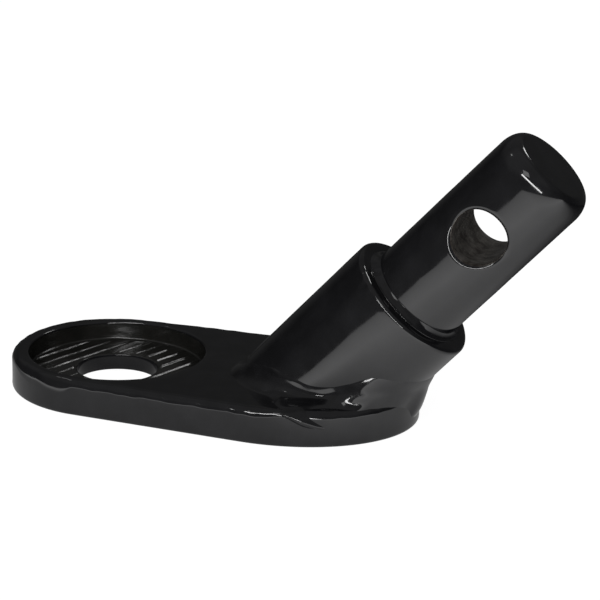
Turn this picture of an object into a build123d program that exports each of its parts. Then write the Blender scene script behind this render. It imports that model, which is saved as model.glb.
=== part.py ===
from build123d import *
from math import atan2, cos, degrees, hypot, radians, sin, sqrt, tan
import os

os.makedirs("parts", exist_ok=True)

# All sizes are in millimetres and all angles in degrees. The origin is on the axle hole's axis,
# at the underside of the plate. +X runs along the plate towards the stub, +Z is up.

# Base plate: a flat steel blank, round about the axle hole and elliptical under the stub
PLATE_THICKNESS = 5.8
HEAD_RADIUS = 16.4
HEAD_CENTRE_X = -0.5
TAIL_CENTRE_X = 28.2
TAIL_HALF_LENGTH = 22.0
TAIL_HALF_WIDTH = 17.5
PLATE_TOP_ROUND = 1.3
PLATE_BOTTOM_ROUND = 0.5

# Axle hole and the round seat for the axle nut
AXLE_HOLE_RADIUS = 6.5
AXLE_HOLE_LIP = 0.3
SEAT_RADIUS = 14.15
SEAT_DEPTH = 3.1
SEAT_RIM_ROUND = 0.4
SEAT_CORNER_ROUND = 0.3

# Straight parallel ridges on the seat's floor, which bite on the nut
RIDGE_PITCH = 2.4
RIDGE_WIDTH = 1.1
RIDGE_HEIGHT = 0.35
RIDGE_DIRECTION = 68.0
RIDGES_EACH_SIDE = 5

# Stub: a solid bar whose turned-down root is held in a sleeve, both mitred where they stand on
# the plate
STUB_TILT = 48.0
STUB_FOOT_X = 35.5
SLEEVE_RADIUS = 11.0
SLEEVE_LENGTH = 20.4
SLEEVE_RIM_ROUND = 0.7
ROOT_RADIUS = 7.0
SPIGOT_RADIUS = 8.0
SPIGOT_LENGTH = 51.0
SPIGOT_END_ROUND = 1.8

# Cross hole for the hitch pin
CROSS_HOLE_RADIUS = 4.25
CROSS_HOLE_DISTANCE = 37.3
CROSS_HOLE_LIP = 0.6

# Weld metal
SHOULDER_LEG = 0.9
SHOULDER_THROAT = 0.36
GROOVE_DEPTH = 1.0
WELD_HEIGHT = 3.0
TOE_WIDTH = 2.0
FLANK_WIDTH = 2.8
WELD_TOP_LIP = 0.12
TOE_END_X = 23.5
HEEL_START_X = 39.5
HEEL_HEIGHT = 3.6
HEEL_SKIRT = 0.45
HEEL_BULGE = 1.3
HEEL_DROP = 3.4

# Worked out from the sizes above
plate_top = PLATE_THICKNESS
seat_floor = PLATE_THICKNESS - SEAT_DEPTH
axis_run = cos(radians(STUB_TILT))
axis_rise = sin(radians(STUB_TILT))
stub_plane = Plane(
    origin=(STUB_FOOT_X, 0, plate_top),
    x_dir=(axis_rise, 0, -axis_run),
    z_dir=(axis_run, 0, axis_rise),
)
stub_axis = Axis((STUB_FOOT_X, 0, plate_top), (axis_run, 0, axis_rise))
stub_side_plane = Plane(
    origin=(STUB_FOOT_X, 0, plate_top),
    x_dir=(axis_rise, 0, -axis_run),
    z_dir=(0, -1, 0),
)
# The bar and sleeve start this far below the plate's top, so that the mitre cuts all round
mitre_reach = SLEEVE_RADIUS / tan(radians(STUB_TILT)) + 1.0
# The bar has its full diameter from here, where the shoulder bead ends
bar_start = SLEEVE_LENGTH + SHOULDER_LEG
groove_radius = SPIGOT_RADIUS + SHOULDER_LEG


# The plate's straight sides touch the round end and the elliptical end. Their slope follows from
# equal support distances of the circle and the ellipse along the side's outward normal.
def side_slope():
    span = TAIL_CENTRE_X - HEAD_CENTRE_X
    square = span**2 - TAIL_HALF_LENGTH**2 + TAIL_HALF_WIDTH**2
    linear = 2 * HEAD_RADIUS * span
    constant = HEAD_RADIUS**2 - TAIL_HALF_WIDTH**2
    return (-linear + sqrt(linear**2 - 4 * square * constant)) / (2 * square)


normal_x = -side_slope()
normal_y = sqrt(1 - normal_x**2)
head_tangent = (HEAD_CENTRE_X + HEAD_RADIUS * normal_x, HEAD_RADIUS * normal_y)
tail_support = hypot(TAIL_HALF_LENGTH * normal_x, TAIL_HALF_WIDTH * normal_y)
tail_tangent = (
    TAIL_CENTRE_X + TAIL_HALF_LENGTH**2 * normal_x / tail_support,
    TAIL_HALF_WIDTH**2 * normal_y / tail_support,
)
head_angle = degrees(atan2(normal_y, normal_x))
tail_angle = degrees(atan2(TAIL_HALF_WIDTH * normal_y, TAIL_HALF_LENGTH * normal_x))

with BuildSketch() as plate_outline:
    with BuildLine():
        CenterArc((HEAD_CENTRE_X, 0), HEAD_RADIUS, head_angle, 180 - head_angle)
        Line(head_tangent, tail_tangent)
        EllipticalCenterArc(
            (TAIL_CENTRE_X, 0), TAIL_HALF_LENGTH, TAIL_HALF_WIDTH, 0, arc_size=tail_angle
        )
        mirror(about=Plane.XZ)
    make_face()

# Ridges of the nut seat, trimmed clear of the hole's lip and the seat's corner
ridge_plane = Plane(
    origin=(0, 0, seat_floor),
    x_dir=(sin(radians(RIDGE_DIRECTION)), -cos(radians(RIDGE_DIRECTION)), 0),
    z_dir=(cos(radians(RIDGE_DIRECTION)), sin(radians(RIDGE_DIRECTION)), 0),
)
with BuildPart() as seat_ridges:
    with BuildSketch(ridge_plane):
        with GridLocations(RIDGE_PITCH, 0, 2 * RIDGES_EACH_SIDE + 1, 1):
            Polygon(
                (-RIDGE_WIDTH / 2, 0),
                (0, -RIDGE_HEIGHT),
                (RIDGE_WIDTH / 2, 0),
                align=None,
            )
    extrude(amount=SEAT_RADIUS, both=True)
    with BuildSketch(Plane.XY.offset(seat_floor - RIDGE_HEIGHT)):
        Circle(SEAT_RADIUS - SEAT_CORNER_ROUND)
        Circle(AXLE_HOLE_RADIUS + AXLE_HOLE_LIP, mode=Mode.SUBTRACT)
    extrude(amount=3 * RIDGE_HEIGHT, mode=Mode.INTERSECT)

# Base plate
with BuildPart() as base_plate:
    add(plate_outline.sketch)
    extrude(amount=PLATE_THICKNESS)
    fillet(base_plate.edges().group_by(Axis.Z)[-1], PLATE_TOP_ROUND)
    fillet(base_plate.edges().group_by(Axis.Z)[0], PLATE_BOTTOM_ROUND)
    with BuildSketch(Plane.XY.offset(seat_floor)):
        Circle(SEAT_RADIUS)
    extrude(amount=SEAT_DEPTH, mode=Mode.SUBTRACT)
    seat_edges = base_plate.edges().filter_by(GeomType.CIRCLE)
    seat_edges = seat_edges.filter_by(lambda edge: abs(edge.radius - SEAT_RADIUS) < 0.01)
    fillet(seat_edges.sort_by(Axis.Z)[-1], SEAT_RIM_ROUND)
    fillet(seat_edges.sort_by(Axis.Z)[0], SEAT_CORNER_ROUND)
    with BuildSketch():
        Circle(AXLE_HOLE_RADIUS)
    extrude(amount=seat_floor, mode=Mode.SUBTRACT)
    hole_edges = base_plate.edges().filter_by(GeomType.CIRCLE)
    hole_edges = hole_edges.filter_by(lambda edge: abs(edge.radius - AXLE_HOLE_RADIUS) < 0.01)
    fillet(hole_edges.sort_by(Axis.Z)[-1], AXLE_HOLE_LIP)
    add(seat_ridges.part)

base_plate.part.label = "base_plate"
export_step(base_plate.part, "parts/base_plate.step")

# Spigot: a solid bar with a rounded end, a cross hole and a slimmer root inside the sleeve
with BuildPart() as spigot:
    with BuildSketch(stub_plane.offset(bar_start)):
        Circle(SPIGOT_RADIUS)
    extrude(amount=SPIGOT_LENGTH - bar_start)
    fillet(spigot.edges().sort_by(stub_axis)[-1], SPIGOT_END_ROUND)
    with BuildSketch(stub_plane.offset(-mitre_reach)):
        Circle(ROOT_RADIUS)
    extrude(amount=bar_start + mitre_reach)
    with BuildSketch(stub_side_plane):
        with Locations((0, CROSS_HOLE_DISTANCE)):
            Circle(CROSS_HOLE_RADIUS)
    extrude(amount=SPIGOT_RADIUS, both=True, mode=Mode.SUBTRACT)
    hole_face = spigot.faces().filter_by(GeomType.CYLINDER).sort_by(SortBy.AREA)[0]
    fillet(hole_face.edges().filter_by(GeomType.BSPLINE), CROSS_HOLE_LIP)
    split(bisect_by=Plane.XY.offset(plate_top), keep=Keep.TOP)

spigot.part.label = "spigot"
export_step(spigot.part, "parts/spigot.step")

# Sleeve: a thick tube over the bar's root, whose upper face is the shoulder that the tow arm
# meets. Its bore is countersunk for the shoulder bead.
with BuildPart() as sleeve:
    with BuildSketch(stub_plane.offset(-mitre_reach)):
        Circle(SLEEVE_RADIUS)
    extrude(amount=SLEEVE_LENGTH + mitre_reach)
    fillet(sleeve.edges().sort_by(stub_axis)[-1], SLEEVE_RIM_ROUND)
    with BuildSketch(stub_side_plane):
        with BuildLine():
            Polyline(
                (0, -mitre_reach),
                (ROOT_RADIUS, -mitre_reach),
                (ROOT_RADIUS, SLEEVE_LENGTH - GROOVE_DEPTH),
                (groove_radius, SLEEVE_LENGTH),
                (0, SLEEVE_LENGTH),
                close=True,
            )
        make_face()
    revolve(axis=stub_axis, mode=Mode.SUBTRACT)
    split(bisect_by=Plane.XY.offset(plate_top), keep=Keep.TOP)

sleeve.part.label = "sleeve"
export_step(sleeve.part, "parts/sleeve.step")

# Shoulder bead: weld metal in the groove between root and sleeve, with a hollow face that runs
# up to the bar's full diameter
with BuildPart() as shoulder_bead:
    with BuildSketch(stub_side_plane):
        with BuildLine():
            on_face = (groove_radius, SLEEVE_LENGTH)
            on_bar = (SPIGOT_RADIUS, bar_start)
            middle = (SPIGOT_RADIUS + SHOULDER_THROAT, SLEEVE_LENGTH + SHOULDER_THROAT)
            Line((ROOT_RADIUS, SLEEVE_LENGTH - GROOVE_DEPTH), on_face)
            ThreePointArc(on_face, middle, on_bar)
            Polyline(
                on_bar,
                (ROOT_RADIUS, bar_start),
                (ROOT_RADIUS, SLEEVE_LENGTH - GROOVE_DEPTH),
            )
        make_face()
    revolve(axis=stub_axis)

shoulder_bead.part.label = "shoulder_bead"
export_step(shoulder_bead.part, "parts/shoulder_bead.step")

# The stub's footprint on the plate is an ellipse, and so is its section at any height
footprint_half_length = SLEEVE_RADIUS / axis_rise


def section_centre(height):
    return STUB_FOOT_X + height / tan(radians(STUB_TILT))


# Solid stub and plate that the foot welds are cut back to
with BuildPart() as stub_blank:
    with BuildSketch(stub_plane.offset(-mitre_reach)):
        Circle(SLEEVE_RADIUS)
    extrude(amount=SLEEVE_LENGTH + mitre_reach)

with BuildPart() as foot_weld:
    with BuildSketch(Plane.XY.offset(plate_top)):
        with Locations((STUB_FOOT_X, 0)):
            Ellipse(footprint_half_length + TOE_WIDTH, SLEEVE_RADIUS + FLANK_WIDTH)
    with BuildSketch(Plane.XY.offset(plate_top + WELD_HEIGHT)):
        with Locations((section_centre(WELD_HEIGHT), 0)):
            Ellipse(footprint_half_length + WELD_TOP_LIP, SLEEVE_RADIUS + WELD_TOP_LIP)
    loft()
    add(stub_blank.part, mode=Mode.SUBTRACT)

# Toe bead: the weld across the front of the stub, towards the axle hole
with BuildPart() as toe_bead:
    add(foot_weld.part)
    split(bisect_by=Plane.YZ.offset(TOE_END_X), keep=Keep.BOTTOM)

toe_bead.part.label = "toe_bead"
export_step(toe_bead.part, "parts/toe_bead.step")

# Side beads: the welds along both flanks of the stub
with BuildPart() as side_bead_right:
    add(foot_weld.part)
    split(bisect_by=Plane.YZ.offset(TOE_END_X), keep=Keep.TOP)
    split(bisect_by=Plane.YZ.offset(HEEL_START_X), keep=Keep.BOTTOM)
    split(bisect_by=Plane.XZ, keep=Keep.TOP)

side_bead_right.part.label = "side_bead_right"
export_step(side_bead_right.part, "parts/side_bead_right.step")

with BuildPart() as side_bead_left:
    add(side_bead_right.part)
    mirror(about=Plane.XZ, mode=Mode.REPLACE)

side_bead_left.part.label = "side_bead_left"
export_step(side_bead_left.part, "parts/side_bead_left.step")

# Heel fill: weld metal under the stub's overhang, which also runs down over the plate's edge
with BuildPart() as heel_fill:
    with BuildSketch(Plane.XY.offset(plate_top - HEEL_DROP)):
        with Locations((TAIL_CENTRE_X, 0)):
            Ellipse(TAIL_HALF_LENGTH + HEEL_SKIRT, TAIL_HALF_WIDTH + HEEL_SKIRT)
    with BuildSketch(Plane.XY.offset(plate_top)):
        with Locations((TAIL_CENTRE_X, 0)):
            Ellipse(TAIL_HALF_LENGTH + HEEL_BULGE, TAIL_HALF_WIDTH + HEEL_SKIRT)
    with BuildSketch(Plane.XY.offset(plate_top + HEEL_HEIGHT)):
        with Locations((section_centre(HEEL_HEIGHT), 0)):
            Ellipse(footprint_half_length + WELD_TOP_LIP, SLEEVE_RADIUS + WELD_TOP_LIP)
    loft(ruled=True)
    split(bisect_by=Plane.YZ.offset(HEEL_START_X), keep=Keep.TOP)
    add(stub_blank.part, mode=Mode.SUBTRACT)
    add(base_plate.part, mode=Mode.SUBTRACT)

heel_fill.part.label = "heel_fill"
export_step(heel_fill.part, "parts/heel_fill.step")
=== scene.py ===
"""Looks of a bicycle trailer hitch coupler: a flat plate, a leaning stub and the welds between them."""
import logging
from collections.abc import Callable, Sequence
from dataclasses import dataclass, field
from enum import Enum
from math import asin, atan2, cos, exp, hypot, pi, radians, sin, sqrt

import bmesh
import bpy
from mathutils import Matrix, Vector, noise


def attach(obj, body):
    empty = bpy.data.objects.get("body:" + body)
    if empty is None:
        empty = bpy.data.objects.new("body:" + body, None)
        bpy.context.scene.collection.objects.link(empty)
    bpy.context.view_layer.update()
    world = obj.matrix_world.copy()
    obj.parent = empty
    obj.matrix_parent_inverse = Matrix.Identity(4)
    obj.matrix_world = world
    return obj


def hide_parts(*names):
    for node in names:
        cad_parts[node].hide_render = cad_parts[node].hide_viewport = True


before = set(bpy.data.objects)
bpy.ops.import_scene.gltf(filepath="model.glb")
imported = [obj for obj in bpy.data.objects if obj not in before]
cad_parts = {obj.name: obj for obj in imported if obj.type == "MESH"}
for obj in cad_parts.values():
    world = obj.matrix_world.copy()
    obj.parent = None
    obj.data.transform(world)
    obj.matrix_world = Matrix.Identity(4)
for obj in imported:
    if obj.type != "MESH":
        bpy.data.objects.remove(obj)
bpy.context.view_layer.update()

MM = 0.001
LOG = logging.getLogger("coupler")
Tree = bpy.types.NodeTree
Socket = bpy.types.NodeSocket


class Slot(Enum):
    """Material slots."""

    STEEL = "coated_steel"
    WELD = "coated_weld"


def linear(hex_colour: str) -> tuple[float, float, float, float]:
    """Turn an sRGB hex colour into linear light.

    Args:
        hex_colour: Six hex digits, with or without a leading hash.

    Returns:
        Linear red, green, blue and an alpha of 1.
    """
    digits = hex_colour.lstrip("#")
    parts = [int(digits[i : i + 2], 16) / 255 for i in (0, 2, 4)]
    toned = [c / 12.92 if c <= 0.04045 else ((c + 0.055) / 1.055) ** 2.4 for c in parts]
    return (*toned, 1.0)


def add_node(
    tree: Tree,
    kind: str,
    settings: dict[str, object] | None = None,
    links: dict[str, Socket] | None = None,
) -> bpy.types.Node:
    """Add one node with its settings and its links.

    Args:
        tree: The node tree that takes the node.
        kind: Blender's name of the node type.
        settings: Values by input name or index, or by property name where no input has it.
        links: Sockets of other nodes by the name or index of this node's input.

    Returns:
        The new node.
    """
    node = tree.nodes.new(kind)
    for key, value in (settings or {}).items():
        if key.isdigit():
            node.inputs[int(key)].default_value = value
        elif key in node.inputs:
            node.inputs[key].default_value = value
        else:
            setattr(node, key, value)
    for key, socket in (links or {}).items():
        tree.links.new(socket, node.inputs[int(key) if key.isdigit() else key])
    return node


def new_material(name: str) -> tuple[bpy.types.Material, Tree]:
    """Make a material with an empty node tree.

    Args:
        name: The material's name.

    Returns:
        The material and its tree.
    """
    material = bpy.data.materials.new(name)
    material.use_nodes = True
    material.node_tree.nodes.clear()
    return material, material.node_tree


def surface(tree: Tree, shader: Socket) -> None:
    """Give the material this shader as its surface."""
    add_node(tree, "ShaderNodeOutputMaterial", None, {"Surface": shader})


def place_in(tree: Tree, space: str) -> Socket:
    """Give the coordinates of this space, such as Object."""
    return add_node(tree, "ShaderNodeTexCoord").outputs[space]


def lumps(tree: Tree, where: Socket, size_mm: float, detail: float, roughness: float = 0.5) -> Socket:
    """Give noise whose lumps are about this many millimetres wide."""
    settings = {"Scale": 1 / (size_mm * MM), "Detail": detail, "Roughness": roughness}
    return add_node(tree, "ShaderNodeTexNoise", settings, {"Vector": where}).outputs["Fac"]


def tool_marks(tree: Tree, where: Socket, pitch_mm: float, distortion: float, **shape: str) -> Socket:
    """Give a cutting tool's marks at this pitch, shaped as the wave node's properties say."""
    settings = {**shape, "Scale": 1 / (20 * pitch_mm * MM), "Distortion": distortion, "Detail": 2.0}
    return add_node(tree, "ShaderNodeTexWave", settings, {"Vector": where}).outputs["Fac"]


def bump(
    tree: Tree, height: Socket, depth_mm: float, under: Socket | None = None, strength: float = 1.0
) -> Socket:
    """Turn a height into a normal.

    Args:
        tree: The material's node tree.
        height: Height from 0 to 1.
        depth_mm: Millimetres that a height of 1 stands for.
        under: The normal of a bump that this one lies on.
        strength: How much of the bump shows.

    Returns:
        The normal.
    """
    links = {"Height": height} if under is None else {"Height": height, "Normal": under}
    settings = {"Strength": strength, "Distance": depth_mm * MM}
    return add_node(tree, "ShaderNodeBump", settings, links).outputs["Normal"]


def remap(
    tree: Tree, value: Socket, low: float, high: float,
    to: tuple[float, float] = (0.0, 1.0), kind: str = "LINEAR",
) -> Socket:
    """Map a stretch of values to another, and hold what lies outside it at its ends.

    Args:
        tree: The node tree.
        value: The value.
        low: Start of the stretch.
        high: End of the stretch.
        to: What the start and the end become.
        kind: Blender's name of the interpolation.

    Returns:
        The mapped value.
    """
    ends = {"From Min": low, "From Max": high, "To Min": to[0], "To Max": to[1]}
    settings = {"interpolation_type": kind, **ends}
    return add_node(tree, "ShaderNodeMapRange", settings, {"Value": value}).outputs["Result"]


def tint(tree: Tree, share: Socket, first: str, second: str) -> Socket:
    """Mix two hex colours by this share."""
    settings = {"data_type": "RGBA", "6": linear(first), "7": linear(second)}
    return add_node(tree, "ShaderNodeMix", settings, {"0": share}).outputs[2]


def level_of(tree: Tree, value: Socket, rows: Sequence[tuple[float, float]], unit: float = 1.0) -> Socket:
    """Turn a value into a grey level.

    Args:
        tree: The node tree.
        value: The value.
        rows: Value and level of each stop, in rising order.
        unit: What the rows' values are multiplied by.

    Returns:
        The level.
    """
    first, last = rows[0][0], rows[-1][0]
    ramp = add_node(
        tree, "ShaderNodeValToRGB", None, {"0": remap(tree, value, first * unit, last * unit)}
    )
    stops = ramp.color_ramp.elements
    stops[0].color = (rows[0][1],) * 3 + (1,)
    stops[1].color = (rows[-1][1],) * 3 + (1,)
    for at, level in rows[1:-1]:
        stops.new((at - first) / (last - first)).color = (level,) * 3 + (1,)
    return ramp.outputs["Color"]


def smooth_step(value: float) -> float:
    """Ease from 0 to 1 as value goes from 0 to 1."""
    held = min(1.0, max(0.0, value))
    return held * held * (3 - 2 * held)


def ripple(x: float, y: float, z: float, size: float) -> float:
    """Give smooth noise between about -1 and 1 whose lumps are this many millimetres wide."""
    return noise.noise(Vector((x, y, z)) / size)


def hump(value: float, middle: float, width: float) -> float:
    """Give a bell curve of height 1."""
    return exp(-(((value - middle) / width) ** 2))


def along(stops: Sequence[tuple[float, ...]], value: float) -> tuple[float, ...]:
    """Read smoothly between rows of values.

    Args:
        stops: Rows whose first number rises, with the values that hold there.
        value: Where to read.

    Returns:
        The values between the two nearest rows.
    """
    if value <= stops[0][0]:
        return stops[0][1:]
    if value >= stops[-1][0]:
        return stops[-1][1:]
    place = next(i for i in range(len(stops) - 1) if value <= stops[i + 1][0])
    before, low = stops[max(place - 1, 0)], stops[place]
    high, after = stops[place + 1], stops[min(place + 2, len(stops) - 1)]
    span = high[0] - low[0]
    share = (value - low[0]) / span
    rest = 1 - share
    found = []
    for i in range(1, len(low)):
        leave = (high[i] - before[i]) / (high[0] - before[0]) * span
        arrive = (after[i] - low[i]) / (after[0] - low[0]) * span
        found.append(
            low[i] * rest * rest * (1 + 2 * share) + high[i] * share * share * (3 - 2 * share)
            + leave * share * rest * rest - arrive * share * share * rest
        )
    return tuple(found)


def clear_selection() -> None:
    """Deselect every object."""
    bpy.ops.object.select_all(action="DESELECT")


class LoopSkin:
    """A skin modelled ring by ring, from a circle primitive and one extrusion for each further ring."""

    def __init__(self, name: str, ring: Sequence[Vector], fill: bool = False) -> None:
        """Start the skin.

        Args:
            name: The piece's name.
            ring: The first ring's points in millimetres.
            fill: Whether the first ring gets a face.
        """
        clear_selection()
        bpy.ops.mesh.primitive_circle_add(vertices=len(ring), radius=MM)
        self.piece = bpy.context.object
        self.piece.name = self.piece.data.name = name
        bpy.ops.object.mode_set(mode="EDIT")
        self.order = list(range(len(ring)))
        self._place(ring)
        if fill:
            bpy.ops.mesh.edge_face_add()

    def _mesh(self) -> bmesh.types.BMesh:
        """Return the mesh in edit mode, ready for reading by index."""
        mesh = bmesh.from_edit_mesh(self.piece.data)
        mesh.verts.ensure_lookup_table()
        return mesh

    def _place(self, ring: Sequence[Vector]) -> None:
        """Move the newest ring's vertices to these points in millimetres."""
        mesh = self._mesh()
        for index, point in zip(self.order, ring):
            mesh.verts[index].co = point * MM

    def extend(self, *rings: Sequence[Vector]) -> None:
        """Extrude the newest ring once for each of these rings, in millimetres."""
        for ring in rings:
            bpy.ops.mesh.extrude_edges_move()
            mesh = self._mesh()
            fresh = []
            for index in self.order:
                old = mesh.verts[index]
                new = next(v for e in old.link_edges if (v := e.other_vert(old)).select)
                fresh.append(new)
            mesh.verts.index_update()
            self.order = [vert.index for vert in fresh]
            self._place(ring)

    def close(self, fill: bool = False) -> bpy.types.Object:
        """Merge what meets, turn the faces outwards and leave edit mode.

        Args:
            fill: Whether the newest ring gets a face.

        Returns:
            The finished object, smooth shaded.
        """
        if fill:
            bpy.ops.mesh.edge_face_add()
        bpy.ops.mesh.select_all(action="SELECT")
        bpy.ops.mesh.remove_doubles(threshold=0.0005 * MM)
        bpy.ops.mesh.normals_make_consistent(inside=False)
        bpy.ops.object.mode_set(mode="OBJECT")
        bpy.ops.object.shade_smooth()
        return self.piece


@dataclass(frozen=True)
class Enamel:
    """Black stoved enamel on steel: a thick wet film that mirrors the room and rounds every edge.

    The film shrinks into a fine orange peel as it bakes and sags a little before that, so mirrored
    edges wander. Dust and handling leave it slightly duller in patches.
    """

    name: str
    colour: str = "#0b0b0d"
    patch_colour: str = "#141416"
    gloss: float = 0.06
    dull: float = 0.13
    peel_mm: float = 1.3
    peel_depth_mm: float = 0.0022
    sag_mm: float = 6.0
    sag_depth_mm: float = 0.014
    tool_mm: float = 0.0
    tool_depth_mm: float = 0.004
    ior: float = 1.5

    def build(self) -> bpy.types.Material:
        """Make the material."""
        material, tree = new_material(self.name)
        where = place_in(tree, "Object")

        # The longer waves of the sagged film, and the orange peel of its skin over them
        waves = bump(tree, lumps(tree, where, self.sag_mm, 1.0), self.sag_depth_mm)
        normal = bump(tree, lumps(tree, where, self.peel_mm, 1.5), self.peel_depth_mm, waves)
        if self.tool_mm:
            # Rings left by the turning tool, softened by the film over them
            rings = tool_marks(tree, where, self.tool_mm, 1.5, wave_type="RINGS", rings_direction="Z")
            normal = bump(tree, rings, self.tool_depth_mm, normal)

        # Patches where the film is thinner and duller
        share = remap(tree, lumps(tree, where, 0.7 * self.sag_mm, 5.0, 0.6), 0.4, 0.72)
        links = {
            "Base Color": tint(tree, share, self.colour, self.patch_colour),
            "Roughness": remap(tree, share, 0.0, 1.0, (self.gloss, self.dull)),
            "Normal": normal,
        }
        shader = add_node(tree, "ShaderNodeBsdfPrincipled", {"IOR": self.ior}, links)
        surface(tree, shader.outputs["BSDF"])
        return material


@dataclass(frozen=True)
class BoreSteel:
    """Drilled steel in the cross hole, where the enamel hardly reaches.

    The tool's rings show through a thin brownish wash of enamel, so it mirrors more than the film.
    """

    name: str = "drilled_steel_bore"
    steel: str = "#8d8983"
    wash: str = "#3a322c"
    gloss: float = 0.22
    metallic: float = 0.75
    ring_mm: float = 0.35
    ring_depth_mm: float = 0.01
    stain_mm: float = 2.2

    def build(self) -> bpy.types.Material:
        """Make the material."""
        material, tree = new_material(self.name)
        where = place_in(tree, "Object")
        share = remap(tree, lumps(tree, where, self.stain_mm, 4.0, 0.65), 0.35, 0.65)
        rings = tool_marks(tree, where, self.ring_mm, 2.0, wave_type="BANDS", bands_direction="Y")
        links = {
            "Base Color": tint(tree, share, self.steel, self.wash),
            "Normal": bump(tree, rings, self.ring_depth_mm, strength=0.5),
        }
        settings = {"Metallic": self.metallic, "Roughness": self.gloss}
        shader = add_node(tree, "ShaderNodeBsdfPrincipled", settings, links)
        surface(tree, shader.outputs["BSDF"])
        return material


@dataclass(frozen=True)
class Stub:
    """Where the leaning stub stands: its axis, and the sleeve's round surface about it."""

    foot_x: float = 35.5
    plate_top: float = 5.8
    tilt: float = 48.0
    sleeve_radius: float = 11.0
    sleeve_length: float = 20.4

    @property
    def axis(self) -> Vector:
        """Direction of the stub, away from the plate."""
        return Vector((cos(radians(self.tilt)), 0.0, sin(radians(self.tilt))))

    @property
    def under(self) -> Vector:
        """Direction square to the axis, down and away from the axle hole."""
        return Vector((sin(radians(self.tilt)), 0.0, -cos(radians(self.tilt))))

    def outward(self, turn: float) -> Vector:
        """Direction square to the axis: 0 is the underside, 90 the right side, 180 the toe side."""
        return self.under * cos(radians(turn)) + Vector((0.0, -sin(radians(turn)), 0.0))

    def point(self, radius: float, station: float, turn: float) -> Vector:
        """Give a point in millimetres.

        Args:
            radius: Distance from the axis.
            station: Distance along the axis from the plate's top.
            turn: Degrees about the axis.

        Returns:
            The point.
        """
        foot = Vector((self.foot_x, 0.0, self.plate_top))
        return foot + self.axis * station + self.outward(turn) * radius

    def station_at(self, radius: float, turn: float, height: float) -> float:
        """Give the station where the line of this radius and turn is at this height."""
        drop = radius * cos(radians(turn)) * cos(radians(self.tilt))
        return (height - self.plate_top + drop) / sin(radians(self.tilt))

    def corner(self, turn: float, radius: float) -> Vector:
        """Give the point where the line of this turn and radius meets the plate's top."""
        return self.point(radius, self.station_at(radius, turn, self.plate_top), turn)

    def ring(self, count: int, place: Callable[[float], tuple[float, float]]) -> list[Vector]:
        """Give a ring of this many points, whose radius and station come from each one's turn."""
        return [self.point(*place(360 * i / count), 360 * i / count) for i in range(count)]

    def circle(self, count: int, radius: float, station: float) -> list[Vector]:
        """Give a ring of this many points square to the axis."""
        return self.ring(count, lambda turn: (radius, station))


@dataclass(frozen=True)
class Outline:
    """The plate's outline: round about the axle hole, elliptical under the stub, straight between."""

    head_radius: float = 16.4
    head_x: float = -0.5
    tail_x: float = 28.2
    tail_half_length: float = 22.0
    tail_half_width: float = 17.5

    def _side(self) -> Vector:
        """Outward normal of the straight side towards +Y, where circle and ellipse share a tangent."""
        span = self.tail_x - self.head_x
        square = span**2 - self.tail_half_length**2 + self.tail_half_width**2
        line = 2 * self.head_radius * span
        rest = self.head_radius**2 - self.tail_half_width**2
        slope = (-line + sqrt(line**2 - 4 * square * rest)) / (2 * square)
        return Vector((-slope, sqrt(1 - slope**2)))

    def _support(self, normal: Vector) -> Vector:
        """Give the ellipse's point that has this outward normal."""
        reach = hypot(self.tail_half_length * normal.x, self.tail_half_width * normal.y)
        return Vector((
            self.tail_x + self.tail_half_length**2 * normal.x / reach,
            self.tail_half_width**2 * normal.y / reach,
        ))

    def points(self, count: int) -> list[tuple[Vector, Vector]]:
        """Walk the outline at even steps, from the tail's tip towards +Y.

        Args:
            count: How many points, an even number.

        Returns:
            Pairs of a point and its outward normal.
        """
        side = self._side()
        side_turn = atan2(side.y, side.x)
        steps = 400
        walk = []
        for i in range(steps):
            turn = side_turn * i / steps
            normal = Vector((cos(turn), sin(turn)))
            walk.append((self._support(normal), normal))
        start, end = self._support(side), Vector((self.head_x, 0)) + side * self.head_radius
        for i in range(steps):
            walk.append((start.lerp(end, i / steps), side))
        for i in range(steps + 1):
            turn = side_turn + (pi - side_turn) * i / steps
            normal = Vector((cos(turn), sin(turn)))
            walk.append((Vector((self.head_x, 0)) + normal * self.head_radius, normal))
        lengths = [0.0]
        for (a, _), (b, _) in zip(walk, walk[1:]):
            lengths.append(lengths[-1] + (b - a).length)
        half = []
        place = 0
        for i in range(count // 2 + 1):
            want = lengths[-1] * i / (count // 2)
            while place < len(walk) - 2 and lengths[place + 1] < want:
                place += 1
            share = (want - lengths[place]) / (lengths[place + 1] - lengths[place])
            (a, na), (b, nb) = walk[place], walk[place + 1]
            half.append((a.lerp(b, share), na.lerp(nb, share).normalized()))
        flip = Vector((1, -1))
        return half + [(p * flip, n * flip) for p, n in reversed(half[1:-1])]


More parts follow.
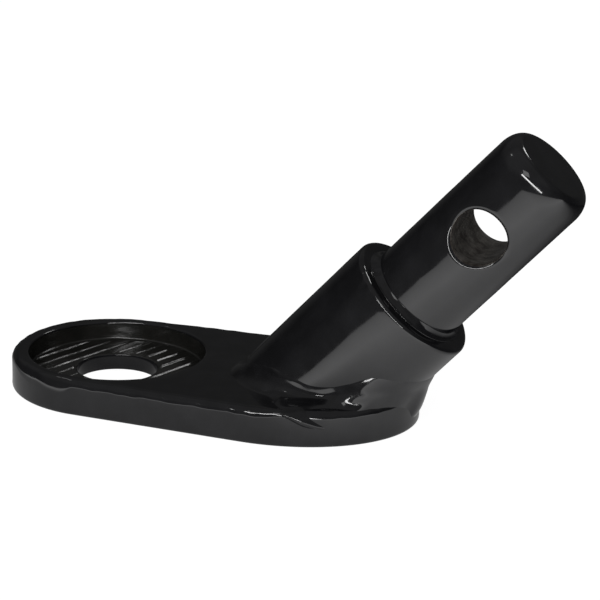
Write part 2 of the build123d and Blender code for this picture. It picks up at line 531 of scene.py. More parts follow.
@dataclass
class BasePlate:
    """The flat plate with its axle hole, ridged nut seat and softly rounded, lumpy coated edges."""

    finish: bpy.types.Material
    seat_finish: bpy.types.Material
    outline: Outline = field(default_factory=Outline)
    thickness: float = 5.8
    hole_radius: float = 6.5
    hole_lip: float = 0.22
    seat_radius: float = 14.15
    seat_depth: float = 3.1
    seat_corner: float = 0.3
    seat_rim: float = 0.4
    top_round: float = 1.2
    top_round_end: float = 78.0
    bottom_round: float = 0.5
    underside_lip: float = 0.25
    seam_width: float = 1.0
    ridge_pitch: float = 2.45
    ridge_width: float = 0.72
    ridge_height: float = 0.28
    ridge_direction: float = 68.0
    floor_step: float = 0.12
    count: int = 512

    def ridge(self, x: float, y: float) -> float:
        """Height of the seat floor's parallel ridges above its level at this place."""
        turn = radians(self.ridge_direction)
        across = x * sin(turn) - y * cos(turn) + 0.1 * ripple(x, y, 3.0, 5.0)
        place = across / self.ridge_pitch
        off = abs(place - round(place)) * self.ridge_pitch
        worn = 1 + 0.35 * ripple(2.7 * round(place), 0.0, 0.0, 1.0) + 0.08 * ripple(x, y, 9.0, 3.0)
        radius = hypot(x, y)
        fade = smooth_step((self.seat_radius - self.seat_corner - radius) / 0.5)
        fade *= smooth_step((radius - self.hole_radius - self.hole_lip) / 0.35)
        crest = max(0.0, 1 - 2 * off / self.ridge_width)
        return fade * (self.ridge_height * crest * worn + 0.02 * ripple(x, y, 0.0, 1.4))

    def rounding(self, point: Vector) -> float:
        """Drop of the rounded top edge at this place of the outline, in millimetres."""
        lump = 0.5 * ripple(point.x, point.y, 0.0, 5.0) + 0.3 * ripple(point.x, point.y, 7.0, 1.8)
        return self.top_round * (1 + 0.5 * lump)

    def run(self, point: Vector) -> float:
        """Extra drop where the coat has run over the head's front edge, in millimetres."""
        if point.y > 0:
            return 0.0
        return 1.25 * smooth_step((point.x + 14) / 6) * smooth_step((-0.8 - point.x) / 2.2)

    def arc(self, steps: int, last: float = 90.0) -> list[float]:
        """Angles in radians of the steps after the first along a rounding."""
        return [radians(last * i / steps) for i in range(1, steps + 1)]

    def seat_turns(self, rim: list[tuple[Vector, Vector]]) -> list[float]:
        """Directions of the seat's vertices: between even steps and the outline's own directions."""
        evens = [2 * pi * i / self.count for i in range(self.count)]
        owns = [0.0] + [atan2(point.y, point.x) % (2 * pi) for point, _ in rim[1:]]
        return [(even + own) / 2 for even, own in zip(evens, owns)]

    def build(self) -> bpy.types.Object:
        """Model the plate ring by ring, from the hole over the top and round the outside."""
        rim = self.outline.points(self.count)
        turns = self.seat_turns(rim)
        floor = self.thickness - self.seat_depth
        lip = self.underside_lip

        def circle(radius: float, height: float, ridged: bool = False) -> list[Vector]:
            """Give a ring about the axle hole's axis, on the ridges if asked."""
            ring = []
            for turn in turns:
                x, y = radius * cos(turn), radius * sin(turn)
                ring.append(Vector((x, y, height + (self.ridge(x, y) if ridged else 0.0))))
            return ring

        skin = LoopSkin("base_plate_coated", circle(self.hole_radius + lip, 0.0))
        skin.extend(
            circle(self.hole_radius + 0.07, 0.07),
            circle(self.hole_radius, lip),
            circle(self.hole_radius, lip + (floor - self.hole_lip - lip) / 2),
            circle(self.hole_radius, floor - self.hole_lip),
        )
        for turn in self.arc(4):
            skin.extend(circle(
                self.hole_radius + self.hole_lip * (1 - cos(turn)),
                floor - self.hole_lip * (1 - sin(turn)),
            ))
        start = self.hole_radius + self.hole_lip
        end = self.seat_radius - self.seat_corner
        steps = round((end - start) / self.floor_step)
        for i in range(1, steps + 1):
            skin.extend(circle(start + (end - start) * i / steps, floor, ridged=True))
        for turn in self.arc(4):
            skin.extend(circle(
                end + self.seat_corner * sin(turn), floor + self.seat_corner * (1 - cos(turn))
            ))
        low, high = floor + self.seat_corner, self.thickness - self.seat_rim
        for i in range(1, 5):
            skin.extend(circle(self.seat_radius, low + (high - low) * i / 4))
        for turn in self.arc(6):
            skin.extend(circle(
                self.seat_radius + self.seat_rim * (1 - cos(turn)), high + self.seat_rim * sin(turn)
            ))
        self._top(skin, rim, turns)
        self._outside(skin, rim)
        skin.extend(
            circle(self.hole_radius + lip + self.seam_width, 0.0), circle(self.hole_radius + lip, 0.0)
        )
        plate = skin.close()
        plate.data.materials.append(self.finish)
        plate.data.materials.append(self.seat_finish)
        for face in plate.data.polygons:
            middle = face.center / MM
            seat = hypot(middle.x, middle.y) < self.seat_radius + 0.02 and floor - 0.1 < middle.z < high
            face.material_index = 1 if seat else 0
        return plate

    def _top(self, skin: LoopSkin, rim: list[tuple[Vector, Vector]], turns: list[float]) -> None:
        """Run the top face out from the seat's rim to where the edge starts to round."""
        radius = self.seat_radius + self.seat_rim
        inner = [Vector((radius * cos(t), radius * sin(t))) for t in turns]
        outer = [p - n * self.rounding(p) for p, n in rim]
        for share in (0.08, 0.25, 0.45, 0.65, 0.82, 0.93, 1.0):
            ring = []
            for a, b in zip(inner, outer):
                flat = a.lerp(b, share)
                sag = 0.03 * ripple(flat.x, flat.y, 20.0, 9.0) * smooth_step(4 * share * (1 - share))
                ring.append(Vector((flat.x, flat.y, self.thickness + sag)))
            skin.extend(ring)

    def _outside(self, skin: LoopSkin, rim: list[tuple[Vector, Vector]]) -> None:
        """Go over the rounded top edge, down the side and under to the hole."""
        steep = radians(self.top_round_end)
        for turn in self.arc(12, last=self.top_round_end):
            ring = []
            for point, normal in rim:
                inset = self.rounding(point)
                drop = inset + self.run(point)
                place = point - normal * inset * (1 - sin(turn) / sin(steep))
                bead = 0.04 * ripple(point.x, point.y, 5.0, 1.1) * sin(pi * turn / steep)
                height = self.thickness - drop * (1 - cos(turn)) / (1 - cos(steep)) + bead
                ring.append(Vector((place.x, place.y, height)))
            skin.extend(ring)
        for share in (0.02, 0.2, 0.4, 0.6, 0.8, 1.0):
            ring = []
            for point, normal in rim:
                top = self.thickness - self.rounding(point) - self.run(point)
                height = top + (self.bottom_round - top) * share
                wave = 0.05 * ripple(point.x, point.y, height, 4.0) * (1 if 0.1 < share < 0.9 else 0)
                place = point + normal * wave
                ring.append(Vector((place.x, place.y, height)))
            skin.extend(ring)
        for turn in self.arc(5):
            skin.extend([
                Vector((*(p - n * self.bottom_round * (1 - cos(turn))),
                        self.bottom_round * (1 - sin(turn))))
                for p, n in rim
            ])
        for share in (0.3, 0.7):
            ring = []
            for (point, normal), turn in zip(rim, self.seat_turns(rim)):
                edge = point - normal * self.bottom_round
                reach = self.hole_radius + self.underside_lip + self.seam_width
                centre = Vector((cos(turn), sin(turn))) * reach
                flat = edge.lerp(centre, share)
                ring.append(Vector((flat.x, flat.y, 0.0)))
            skin.extend(ring)


@dataclass
class Sleeve:
    """The thick tube round the bar's root, whose upper face is the shoulder."""

    finish: bpy.types.Material
    stub: Stub = field(default_factory=Stub)
    bore_radius: float = 7.0
    groove_radius: float = 8.9
    groove_depth: float = 1.0
    rim_round: float = 0.7
    wall_rings: int = 26
    count: int = 320

    def uneven(self, turn: float, station: float) -> float:
        """Unevenness of the coat on the tube's outside and rim, in millimetres."""
        spot = self.stub.point(self.stub.sleeve_radius, station, turn)
        wide = 0.035 * ripple(*spot, 6.0)
        drip = 0.16 * hump(turn, 128.0, 16.0) * ripple(*spot, 1.3)
        near_rim = smooth_step((station - self.stub.sleeve_length + 2.2) / 1.4)
        return wide + drip * near_rim

    def coated(self, turn: float, station: float, radius: float) -> tuple[float, float]:
        """Give the radius with the coat's unevenness, and the station."""
        return radius + self.uneven(turn, station), station

    def wall(self, turn: float, step: int) -> tuple[float, float]:
        """Give the radius and station on the wall, at a step from the rim to the mitre."""
        radius, start = self.stub.sleeve_radius, self.stub.sleeve_length - self.rim_round
        foot = self.stub.station_at(radius, turn, self.stub.plate_top)
        station = start + (foot - start) * step / self.wall_rings
        return self.coated(turn, station, radius) if step < self.wall_rings else (radius, station)

    def build(self) -> bpy.types.Object:
        """Model the tube ring by ring, from the groove over the rim, down to the mitre and up the bore."""
        stub, top, count, bore = self.stub, self.stub.sleeve_length, self.count, self.bore_radius
        skin = LoopSkin("sleeve_coated", stub.circle(count, bore, top - self.groove_depth))
        skin.extend(stub.circle(count, self.groove_radius, top))
        flat_end = stub.sleeve_radius - self.rim_round
        for i in range(1, 4):
            radius = self.groove_radius + (flat_end - self.groove_radius) * i / 3
            skin.extend(stub.circle(count, radius, top))
        for i in range(1, 9):
            bend = radians(90 * i / 8)
            radius, station = flat_end + self.rim_round * sin(bend), top - self.rim_round * (1 - cos(bend))
            skin.extend(stub.ring(count, lambda turn: self.coated(turn, station, radius)))
        for step in range(1, self.wall_rings + 1):
            skin.extend(stub.ring(count, lambda turn: self.wall(turn, step)))
        skin.extend(stub.ring(count, lambda turn: (bore, stub.station_at(bore, turn, stub.plate_top))))
        skin.extend(stub.circle(count, bore, top - self.groove_depth))
        tube = skin.close()
        tube.data.materials.append(self.finish)
        return tube


@dataclass
class ShoulderBead:
    """The thin weld in the corner between the bar and the shoulder."""

    finish: bpy.types.Material
    stub: Stub = field(default_factory=Stub)
    bar_radius: float = 8.0
    root_radius: float = 7.0
    groove_depth: float = 1.0
    leg: float = 1.05
    throat: float = 0.40
    ripple_mm: float = 1.5
    face_rings: int = 12
    count: int = 384

    def face(self, turn: float, share: float) -> tuple[float, float]:
        """Give a place on the bead's hollow, lumpy face.

        Args:
            turn: Degrees about the axis.
            share: From 0 on the shoulder to 1 on the bar.

        Returns:
            Its radius and station.
        """
        top = self.stub.sleeve_length
        spot = self.stub.point(self.bar_radius, top, turn)
        hollow = 4 * share * (1 - share)
        # The bead is roughest between the bar's right side and its toe side
        rough = 0.04 + 0.22 * hump(turn, 138.0, 18.0)
        lump = rough * ripple(*spot, self.ripple_mm) * hollow
        size = self.leg * (1 + 0.2 * ripple(*spot, 5.0))
        sag = (self.throat - self.leg / 2) * hollow
        away, rise = size * (1 - share) + sag + lump, size * share + sag + lump
        return self.bar_radius + max(0.0, away), top + max(0.0, rise)

    def build(self) -> bpy.types.Object:
        """Model the bead ring by ring, over its hollow face and back through the groove."""
        stub, top = self.stub, self.stub.sleeve_length
        inside = stub.circle(self.count, self.root_radius, top - self.groove_depth)
        skin = LoopSkin("shoulder_bead_run", inside)
        for step in range(self.face_rings + 1):
            skin.extend(stub.ring(self.count, lambda turn: self.face(turn, step / self.face_rings)))
        skin.extend(stub.circle(self.count, self.root_radius, top + self.leg))
        skin.extend(inside)
        bead = skin.close()
        bead.data.materials.append(self.finish)
        return bead


@dataclass
class Spigot:
    """The round bar above the shoulder, with its rounded end and the soft-lipped cross hole."""

    finish: bpy.types.Material
    bore_finish: bpy.types.Material
    stub: Stub = field(default_factory=Stub)
    radius: float = 8.0
    length: float = 51.0
    end_round: float = 2.0
    end_reach: float = 3.3
    start: float = 21.3
    root_radius: float = 7.0
    hole_radius: float = 4.25
    hole_station: float = 37.3
    lip: float = 0.8
    rings: int = 84
    side_counts: tuple[int, int, int, int] = (88, 52, 88, 60)

    @property
    def curve(self) -> float:
        """Length of the skin over the rounded end."""
        return pi * sqrt((self.end_round**2 + self.end_reach**2) / 8)

    def skin_point(self, wrap: float, run: float) -> Vector:
        """Give a point on the bar's skin.

        Args:
            wrap: Millimetres round the bar from the middle of its right side, towards the underside.
            run: Millimetres along the bar, which go on over the rounded end to its middle.

        Returns:
            The point.
        """
        turn = 90 - wrap / self.radius * 180 / pi
        straight = self.length - self.end_reach
        over = run - straight
        if over <= 0:
            radius, station = self.radius, run
        elif over <= self.curve:
            bend = over / self.curve * pi / 2
            radius = self.radius - self.end_round * (1 - cos(bend))
            station = straight + self.end_reach * sin(bend)
        else:
            radius, station = max(0.0, self.radius - self.end_round - (over - self.curve)), self.length
        spot = self.stub.point(radius, station, turn)
        wave = 0.022 * ripple(*spot, 5.5) + 0.008 * ripple(*spot, 2.2)
        return self.stub.point(max(0.0, radius + wave * min(1.0, radius / 4)), station, turn)

    def headings(self) -> list[tuple[float, Vector]]:
        """Directions out of the cross hole, with where each meets the edge of the unrolled half skin."""
        half = self.radius * pi / 2
        end = self.length - self.end_reach + self.curve + self.radius - self.end_round
        high, low = end - self.hole_station, self.start - self.hole_station
        corners = [(half, low), (half, high), (-half, high), (-half, low), (half, low)]
        found = []
        for (first, last), count in zip(zip(corners, corners[1:]), self.side_counts):
            for i in range(count):
                spot = Vector(first).lerp(Vector(last), i / count)
                found.append((atan2(spot.y, spot.x), spot))
        return found

    def on_bar(self, wide: float, run: float, sunk: float) -> Vector:
        """Give a point in the bore or on its lip, sunk this far under the bar's surface."""
        depth = sqrt(self.radius**2 - wide**2) - sunk
        stub = self.stub
        centre = stub.point(0.0, run, 0.0)
        return centre + stub.under * wide + Vector((0.0, -1.0, 0.0)) * max(0.0, depth)

    def build(self) -> bpy.types.Object:
        """Model the right half from the bore outwards, mirror it, and add the root."""
        ways = self.headings()
        edge = self.hole_radius + self.lip

        def bore(share: float) -> list[Vector]:
            """Give a ring in the bore, from the bar's middle at 0 to its lip at 1."""
            ring = []
            for turn, _ in ways:
                wide = self.hole_radius * cos(turn)
                full = sqrt(self.radius**2 - wide**2)
                ring.append(self.on_bar(
                    wide, self.hole_station + self.hole_radius * sin(turn),
                    full - share * (full - self.lip),
                ))
            return ring

        skin = LoopSkin("spigot_coated", bore(0.0))
        skin.extend(*(bore(i / 8) for i in range(1, 9)))
        for i in range(1, 9):
            bend = radians(90 * i / 8)
            radius = self.hole_radius + self.lip * (1 - cos(bend))
            skin.extend([
                self.on_bar(
                    radius * cos(turn), self.hole_station + radius * sin(turn),
                    self.lip * (1 - sin(bend)),
                )
                for turn, _ in ways
            ])
        for i in range(1, self.rings + 1):
            share = i / self.rings
            ring = []
            for turn, rim in ways:
                near = Vector((self.radius * asin(edge * cos(turn) / self.radius), edge * sin(turn)))
                spot = near.lerp(rim, share)
                ring.append(self.skin_point(spot.x, self.hole_station + spot.y))
            skin.extend(ring)
        bar = skin.close()
        mirror = bar.modifiers.new("left_half", "MIRROR")
        mirror.use_axis = (False, True, False)
        mirror.merge_threshold = 0.002 * MM
        bpy.ops.object.modifier_apply(modifier=mirror.name)
        self._root(bar)
        bar.data.materials.append(self.finish)
        bar.data.materials.append(self.bore_finish)
        centre = self.stub.point(0.0, self.hole_station, 0.0) * MM
        for face in bar.data.polygons:
            away = face.center - centre
            away.y = 0.0
            face.material_index = 1 if away.length < (self.hole_radius + 0.12) * MM else 0
        return bar

    def _root(self, bar: bpy.types.Object) -> None:
        """Draw the bar's open end in to the root's size and run the root down to the plate."""
        stub = self.stub
        bpy.ops.object.mode_set(mode="EDIT")
        bpy.ops.mesh.select_mode(type="VERT")
        bpy.ops.mesh.select_all(action="DESELECT")
        bpy.ops.mesh.select_non_manifold()
        bpy.ops.mesh.extrude_edges_move()
        centre = stub.point(0.0, self.start, 0.0) * MM
        shrink = self.root_radius / self.radius
        bpy.ops.transform.resize(value=(shrink,) * 3, center_override=centre)
        bpy.ops.mesh.extrude_edges_move()
        reach = self.start + 2 * self.root_radius
        bpy.ops.transform.translate(value=-stub.axis * reach * MM)
        bpy.ops.mesh.edge_face_add()
        bpy.ops.mesh.select_all(action="SELECT")
        bpy.ops.mesh.bisect(
            plane_co=(0, 0, stub.plate_top * MM), plane_no=(0, 0, 1), use_fill=True, clear_inner=True
        )
        bpy.ops.mesh.select_all(action="SELECT")
        bpy.ops.mesh.normals_make_consistent(inside=False)
        bpy.ops.object.mode_set(mode="OBJECT")


@dataclass
class FootWelds:
    """The weld metal round the stub's foot: toe bead, two side beads and the heel fill.

    Each deposit is one closed skin, and neighbours share a section. Along the flanks the weld is
    a hollow fillet. From the plate's widest part on it spreads to the plate's edge and runs over
    it, and under the overhang it fills the corner.
    """

    finish: bpy.types.Material
    stub: Stub = field(default_factory=Stub)
    outline: Outline = field(default_factory=Outline)
    sink: float = 0.06
    inside: float = 1.2
    root_depth: float = 0.6
    step: float = 0.75
    smoothing: int = 3
    crease_angle: float = 60.0
    lump_mm: float = 4.5
    lump_height: float = 0.15
    grain_mm: float = 1.5
    grain_height: float = 0.03
    notch_depth: float = 0.35
    lobe_height: float = 0.6
    # Each deposit's name, with the turns about the stub where it starts and ends
    spans: tuple[tuple[str, float, float], ...] = (
        ("toe_bead_run", 144.0, 216.0), ("side_bead_right_run", 69.0, 144.0),
        ("side_bead_left_run", 216.0, 291.0), ("heel_fill_run", -69.0, 69.0),
    )
    # Turn about the stub, height of the weld's upper edge on the sleeve
    upper: tuple[tuple[float, float], ...] = (
        (0, 8.6), (25, 9.1), (45, 9.8), (66, 10.5), (76, 9.3), (91, 8.4), (107, 8.8), (124, 9.4),
        (135, 9.4), (146, 8.8), (180, 8.2),
    )
    # Turn about the stub, width of the weld on the plate's top
    width: tuple[tuple[float, float], ...] = ((90, 3.2), (120, 2.8), (150, 2.0), (180, 1.3))
    # Turn about the stub, place along the plate and height of the weld's lower edge on its side
    lower: tuple[tuple[float, float, float], ...] = (
        (0, 50.2, 1.4), (20, 49.4, 2.5), (35, 47.4, 3.5), (48, 45.0, 3.8), (58, 43.0, 3.1),
        (67, 40.5, 2.8), (80, 37.2, 3.3), (92, 34.3, 4.7), (104, 31.6, 5.6),
    )

    def side_point(self, x: float) -> tuple[Vector, Vector]:
        """Give the point of the plate's right side at this x, and its outward normal."""
        o = self.outline
        share = min(1.0, (x - o.tail_x) / o.tail_half_length)
        y = -o.tail_half_width * sqrt(1 - share**2)
        normal = Vector((share / o.tail_half_length, y / o.tail_half_width**2, 0.0)).normalized()
        return Vector((x, y, 0.0)), normal

    def away(self, turn: float) -> Vector:
        """Direction over the plate's top, away from the sleeve's foot at this turn."""
        tilt = radians(self.stub.tilt)
        return Vector((cos(radians(turn)) * sin(tilt), -sin(radians(turn)), 0.0)).normalized()

    def controls(self, turn: float) -> list[Vector]:
        """Give the six points that steer the weld's section at this turn from 0 to 180."""
        stub = self.stub
        radius = stub.sleeve_radius
        top = along(self.upper, turn)[0]
        upper = stub.point(radius - self.sink, stub.station_at(radius, turn, top), turn)
        corner, away = stub.corner(turn, radius), self.away(turn)
        flank_edge = corner + away * along(self.width, turn)[0] - Vector((0, 0, self.sink))
        flank = [upper, upper.lerp(corner, 0.6), corner + away * 0.35 + Vector((0, 0, 0.25)),
                 flank_edge.lerp(corner, 0.6), flank_edge.lerp(corner, 0.25), flank_edge]

        # Under the stub's flank and heel the weld rolls over the plate's edge and ends on its side
        x, z = along(self.lower, turn)
        side, normal = self.side_point(x)
        low = side - normal * self.sink + Vector((0, 0, z))
        full = smooth_step((108 - turn) / 26)
        crown = side + normal * (0.2 * full - 0.25) + Vector((0, 0, stub.plate_top - 0.05 - 0.15 * full))
        belly = low + normal * 0.85 * full + Vector((0, 0, 0.2 + 0.5 * full))
        over = (side - normal * 1.5).lerp(Vector((corner.x, corner.y, 0)), 0.1)
        over += Vector((0, 0, stub.plate_top + 0.1 + 0.35 * full))
        roll = [upper, upper.lerp(corner, 0.8) + away * 0.4, over, crown, belly, low]

        # Right under the overhang it runs straight down from the sleeve
        proud = 1 - smooth_step(turn / 22)
        foot = upper.lerp(low, 0.9) - normal * 0.7 * (1 - proud)
        straight = [
            upper, upper.lerp(foot, 0.4) - normal * 0.1, upper.lerp(foot, 0.8) + normal * 0.2 * proud,
            foot + normal * 0.1 * proud, foot.lerp(low, 0.5), low,
        ]
        lobe = normal * self.lobe_height * hump(turn, 68.0, 12.0)
        straight = [p + lobe * part for p, part in zip(straight, (0.0, 0.2, 0.8, 1.0, 0.6, 0.0))]

        to_straight = smooth_step((84 - turn) / 18)
        heel = [a.lerp(b, to_straight) for a, b in zip(roll, straight)]
        to_flank = smooth_step((turn - 92) / 24)
        return [a.lerp(b, to_flank) for a, b in zip(heel, flank)]

    def section(self, turn: float) -> list[Vector]:
        """Give the weld's section at this turn from 0 to 360, from the sleeve to the plate."""
        right = turn <= 180
        points = self.controls(turn if right else 360 - turn)
        for _ in range(self.smoothing):
            cut = [points[0]]
            for a, b in zip(points, points[1:]):
                cut += [a.lerp(b, 0.25), a.lerp(b, 0.75)]
            points = cut + [points[-1]]
        if not right:
            points = [Vector((p.x, -p.y, p.z)) for p in points]
        return [self.lumpy(p, turn, i / (len(points) - 1)) for i, p in enumerate(points)]

    def lumpy(self, point: Vector, turn: float, share: float) -> Vector:
        """Move a point of the weld's face by its ripples, lumps and the notch, away from the corner.

        Args:
            point: Where the smooth face is.
            turn: Degrees about the stub.
            share: From 0 at the sleeve to 1 at the plate.

        Returns:
            The moved point.
        """
        x, y, z = point
        centre = self.stub.point(0.0, 6.0, 0.0)
        out = Vector((x - centre.x, y - centre.y, 6.0)).normalized()
        body = smooth_step(5 * share) * smooth_step(5 * (1 - share))
        flank = smooth_step((min(turn, 360 - turn) - 85) / 20)
        lump = self.lump_height * ripple(x, y, z, self.lump_mm)
        lump += self.grain_height * ripple(x, y, z + 20, self.grain_mm)
        move = body * lump * (1 - 0.75 * flank)
        edge = hump(share, 0.09, 0.06)
        move += edge * (0.10 + 0.10 * ripple(x, y, z, 1.6)) * (0.3 + 0.7 * flank)
        notch = hump(turn, 66 - 40 * (share - 0.3), 7.0) * hump(share, 0.32, 0.06)
        move -= self.notch_depth * notch + 0.12 * hump(share, 0.22, 0.05) * (1 - flank)
        return point + out * move

    def loop(self, turn: float) -> list[Vector]:
        """Give the closed cross-section at this turn: the face, then back through the steel."""
        stub = self.stub
        face = self.section(turn % 360)
        toward = stub.point(0.0, 3.0, 0.0) - face[-1]
        toward.z = 0.0
        below = face[-1] + toward.normalized() * self.inside + Vector((0, 0, -0.1))
        root = stub.corner(turn, stub.sleeve_radius) - self.away(turn) + Vector((0, 0, -self.root_depth))
        return [face[0] - stub.outward(turn) * self.inside, *face, below, root]

    def build(self) -> list[bpy.types.Object]:
        """Model the four deposits, each drawn section by section round the foot."""
        pieces = []
        for name, start, end in self.spans:
            steps = round((end - start) / self.step)
            skin = LoopSkin(name, self.loop(start), fill=True)
            skin.extend(*(self.loop(start + (end - start) * i / steps) for i in range(1, steps + 1)))
            piece = skin.close(fill=True)
            bpy.ops.object.shade_smooth_by_angle(angle=radians(self.crease_angle))
            piece.data.materials.append(self.finish)
            pieces.append(piece)
        return pieces


@dataclass
class Studio:
    """Camera, soft lights and the pale floor, in a dark room."""

    azimuth: float = 17.810
    elevation: float = 18.003
    roll: float = 1.527
    distance: float = 379.94
    target: tuple[float, float, float] = (30.697, 0.0, 18.011)
    lens: float = 146.19
    floor_half: float = 2500.0
    floor_glow: float = 0.95
    floor_colour: str = "#808080"
    light_distance: float = 700.0
    # How far a direction looks to the front plus 0.9 of how far up, how bright the room is there
    room_glow: tuple[tuple[float, float], ...] = (
        (-1.4, 0.02), (-0.9, 0.05), (-0.6, 0.05), (-0.27, 0.03), (0.43, 0.08), (0.76, 0.18), (1.4, 0.18),
    )
    ceiling: float = 0.08
    upward: float = 0.9
    # Distance behind the object in millimetres, how bright the painted reflection of the lit table is there
    painted_reflection_levels: tuple[tuple[float, float], ...] = (
        (-310, 1.15), (-240, 1.3), (-150, 1.5), (-85, 1.75), (-55, 1.9), (-35, 1.6), (-22, 1.4),
        (-12, 1.1), (-2, 0.8), (8, 0.55), (20, 0.25), (36, 0.08), (55, 0.04), (100, 0.02), (130, 0.01),
    )

    # Painted contact shadow on the mirrored table: the line under the plate, the distances over which it
    # fades out, and its darkest level
    painted_shadow_line: tuple[float, float] = (-60.0, 15.0)
    painted_shadow_reach: tuple[float, float] = (24.0, 52.0)
    painted_shadow: float = 0.42

    def facing(self, azimuth: float, elevation: float) -> Vector:
        """Direction from the object to this azimuth, counted from the front towards +X."""
        a, e = radians(azimuth), radians(elevation)
        return Vector((sin(a) * cos(e), -cos(a) * cos(e), sin(e)))

    def camera(self) -> None:
        """Place the camera."""
        r = radians(self.roll)
        back = self.facing(self.azimuth, self.elevation)
        side = Vector((cos(radians(self.azimuth)), sin(radians(self.azimuth)), 0.0))
        up = back.cross(side)
        right = side * cos(r) + up * sin(r)
        rise = up * cos(r) - side * sin(r)
        data = bpy.data.cameras.new("studio_camera")
        data.lens = self.lens
        data.sensor_width = 36.0
        data.clip_start = 10 * MM
        data.clip_end = 20.0
        camera = bpy.data.objects.new("studio_camera", data)
        turn = Matrix((right, rise, back)).transposed().to_4x4()
        place = (Vector(self.target) + back * self.distance) * MM
        camera.matrix_world = Matrix.Translation(place) @ turn
        bpy.context.scene.collection.objects.link(camera)
        bpy.context.scene.camera = camera

    def softbox(
        self, name: str, azimuth: float, elevation: float,
        width: float, height: float, radiance: float, lean: float = 0.0,
    ) -> None:
        """Hang one rectangular light that faces the object.

        Args:
            name: The light's name.
            azimuth: Degrees from straight in front towards +X.
            elevation: Degrees above the floor.
            width: Millimetres across.
            height: Millimetres up.
            radiance: How bright its face looks.
            lean: Degrees by which its right end, seen from the object, is raised.
        """
        back = self.facing(azimuth, elevation)
        data = bpy.data.lights.new(name, "AREA")
        data.shape = "RECTANGLE"
        data.size = width * MM
        data.size_y = height * MM
        data.energy = radiance * pi * width * height * MM * MM
        light = bpy.data.objects.new(name, data)
        light.location = (Vector(self.target) + back * self.light_distance) * MM
        facing = (-back).to_track_quat("-Z", "Y").to_matrix()
        light.rotation_euler = (facing @ Matrix.Rotation(radians(lean), 3, "Z")).to_euler()
        light.visible_camera = False
        bpy.context.scene.collection.objects.link(light)

    def world(self) -> None:
        """Make the dark room, a little lighter in front."""
        room = bpy.data.worlds.new("dark_room")
        room.use_nodes = True
        tree = room.node_tree
        where = place_in(tree, "Generated")
        split = add_node(tree, "ShaderNodeSeparateXYZ", None, {"0": where})
        up, back = split.outputs["Z"], split.outputs["Y"]
        raised = add_node(tree, "ShaderNodeMath", {"operation": "MULTIPLY", "1": self.upward}, {"0": up})
        front = add_node(
            tree, "ShaderNodeMath", {"operation": "SUBTRACT"}, {"0": raised.outputs["Value"], "1": back}
        )
        level = level_of(tree, front.outputs["Value"], self.room_glow)
        ceiling = remap(tree, up, 0.3, 0.6, (0.0, self.ceiling), "SMOOTHSTEP")
        both = add_node(tree, "ShaderNodeMath", {"operation": "ADD"}, {"0": level, "1": ceiling})
        tree.links.new(both.outputs["Value"], tree.nodes["Background"].inputs["Color"])
        bpy.context.scene.world = room

    def floor(self) -> None:
        """Lay the pale floor."""
        clear_selection()
        bpy.ops.mesh.primitive_plane_add(size=2 * self.floor_half * MM)
        floor = bpy.context.object
        floor.name = "floor"
        floor.visible_glossy = False
        paper, tree = new_material("white_paper")
        glow = add_node(tree, "ShaderNodeEmission", {"Strength": self.floor_glow})
        matt = add_node(tree, "ShaderNodeBsdfDiffuse", {"Color": linear(self.floor_colour)})
        both = add_node(
            tree, "ShaderNodeAddShader", None,
            {"0": glow.outputs["Emission"], "1": matt.outputs["BSDF"]},
        )
        surface(tree, both.outputs["Shader"])
        floor.data.materials.append(paper)

    def table(self) -> None:
        """Lay a glowing card that only the enamel mirrors, a painted reflection of the lit table, with a
        painted shadow that dims it close round the plate.
        """
        clear_selection()
        bpy.ops.mesh.primitive_plane_add(size=2 * self.floor_half * MM)
        card = bpy.context.object
        card.name = "painted_reflection_card"
        bpy.ops.object.mode_set(mode="EDIT")
        for y, side in ((self.painted_reflection_levels[0][0], -1), (self.painted_reflection_levels[-1][0], 1)):
            bpy.ops.mesh.select_all(action="SELECT")
            bpy.ops.mesh.bisect(plane_co=(0, y * MM, 0), plane_no=(0, side, 0), clear_outer=True)
        bpy.ops.object.mode_set(mode="OBJECT")
        # Only the enamel's mirror rays see this glowing card: it paints the table's reflection
        card.visible_camera = card.visible_diffuse = card.visible_shadow = False
        sheet, tree = new_material("painted_reflection_glow")
        where = place_in(tree, "Object")
        split = add_node(tree, "ShaderNodeSeparateXYZ", None, {"0": where})
        halved = [(at, level / 2) for at, level in self.painted_reflection_levels]
        level = level_of(tree, split.outputs["Y"], halved, MM)

        # Painted shadow of the object: dimmer within some millimetres of a line under the plate, and
        # doubled again
        low, high = (x * MM for x in self.painted_shadow_line)
        beside = add_node(tree, "ShaderNodeClamp", {"Min": low, "Max": high}, {"Value": split.outputs["X"]})
        core = add_node(tree, "ShaderNodeCombineXYZ", None, {"0": beside.outputs["Result"]})
        away = add_node(
            tree, "ShaderNodeVectorMath", {"operation": "DISTANCE"},
            {"0": where, "1": core.outputs["Vector"]},
        )
        near, far = (d * MM for d in self.painted_shadow_reach)
        painted_shadow = remap(tree, away.outputs["Value"], near, far, (self.painted_shadow, 1.0), "SMOOTHSTEP")
        strength = add_node(tree, "ShaderNodeMath", {"operation": "MULTIPLY", "1": 2.0}, {"0": painted_shadow})
        glow = add_node(
            tree, "ShaderNodeEmission", None, {"Color": level, "Strength": strength.outputs["Value"]}
        )
        surface(tree, glow.outputs["Emission"])
        card.data.materials.append(sheet)

    def build(self) -> None:
        """Set up the whole studio."""
        self.camera()
        self.world()
        self.floor()
        self.table()
        self.softbox("front_softbox", -2, 42, 210, 170, 2.6)
        self.softbox("left_lamp", -88, 54, 50, 50, 4.0)
        self.softbox("key_tube", 9, 20, 760, 55, 22.0, lean=-35.0)
        self.softbox("back_softbox", 155, 42, 90, 130, 9.0)
        bpy.context.scene.view_settings.view_transform = "Standard"


def dress(piece: bpy.types.Object, slot: Slot, *nodes: str) -> None:
    """Hand a finished piece to the frame and report it.

    Args:
        piece: The finished piece.
        slot: A material slot; not used.
        nodes: The CAD nodes that it stands for.
    """
    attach(piece, "root")
    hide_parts(*nodes)
    LOG.info("%s: %d faces", piece.name, len(piece.data.polygons))


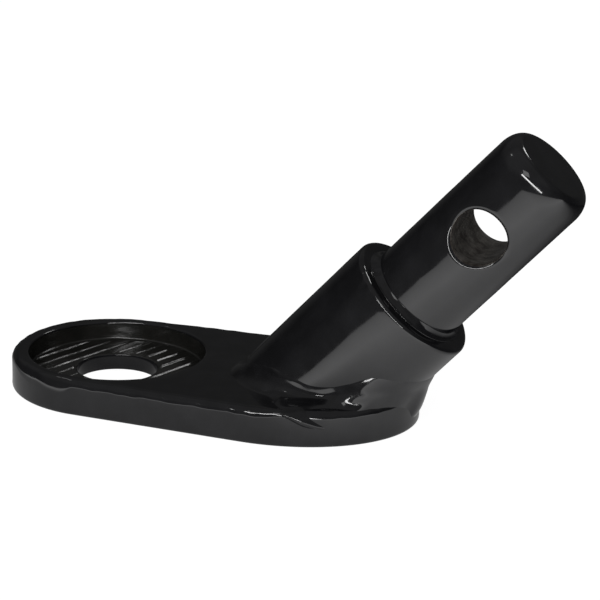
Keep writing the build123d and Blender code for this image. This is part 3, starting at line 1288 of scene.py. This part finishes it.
def main() -> None:
    """Build the studio and then the pieces in the order in which they are made."""
    logging.basicConfig(level=logging.INFO, format="%(name)s: %(message)s")
    Studio().build()
    film = Enamel("black_stoved_enamel").build()
    weld_film = Enamel(
        "black_enamel_over_weld", peel_mm=0.9, peel_depth_mm=0.004, sag_mm=3.0, sag_depth_mm=0.02
    ).build()
    seat_film = Enamel(
        "thin_enamel_over_turned_seat", colour="#161614", patch_colour="#1f1e1c",
        gloss=0.16, dull=0.24, tool_mm=0.9, tool_depth_mm=0.0025,
    ).build()
    bore = BoreSteel().build()
    dress(BasePlate(film, seat_film).build(), Slot.STEEL, "base_plate")
    dress(Sleeve(film).build(), Slot.STEEL, "sleeve")
    dress(Spigot(film, bore).build(), Slot.STEEL, "spigot")
    dress(ShoulderBead(weld_film).build(), Slot.WELD, "shoulder_bead")
    for piece in FootWelds(weld_film).build():
        dress(piece, Slot.WELD, piece.name.removesuffix("_run"))


if __name__ == "__main__":
    main()
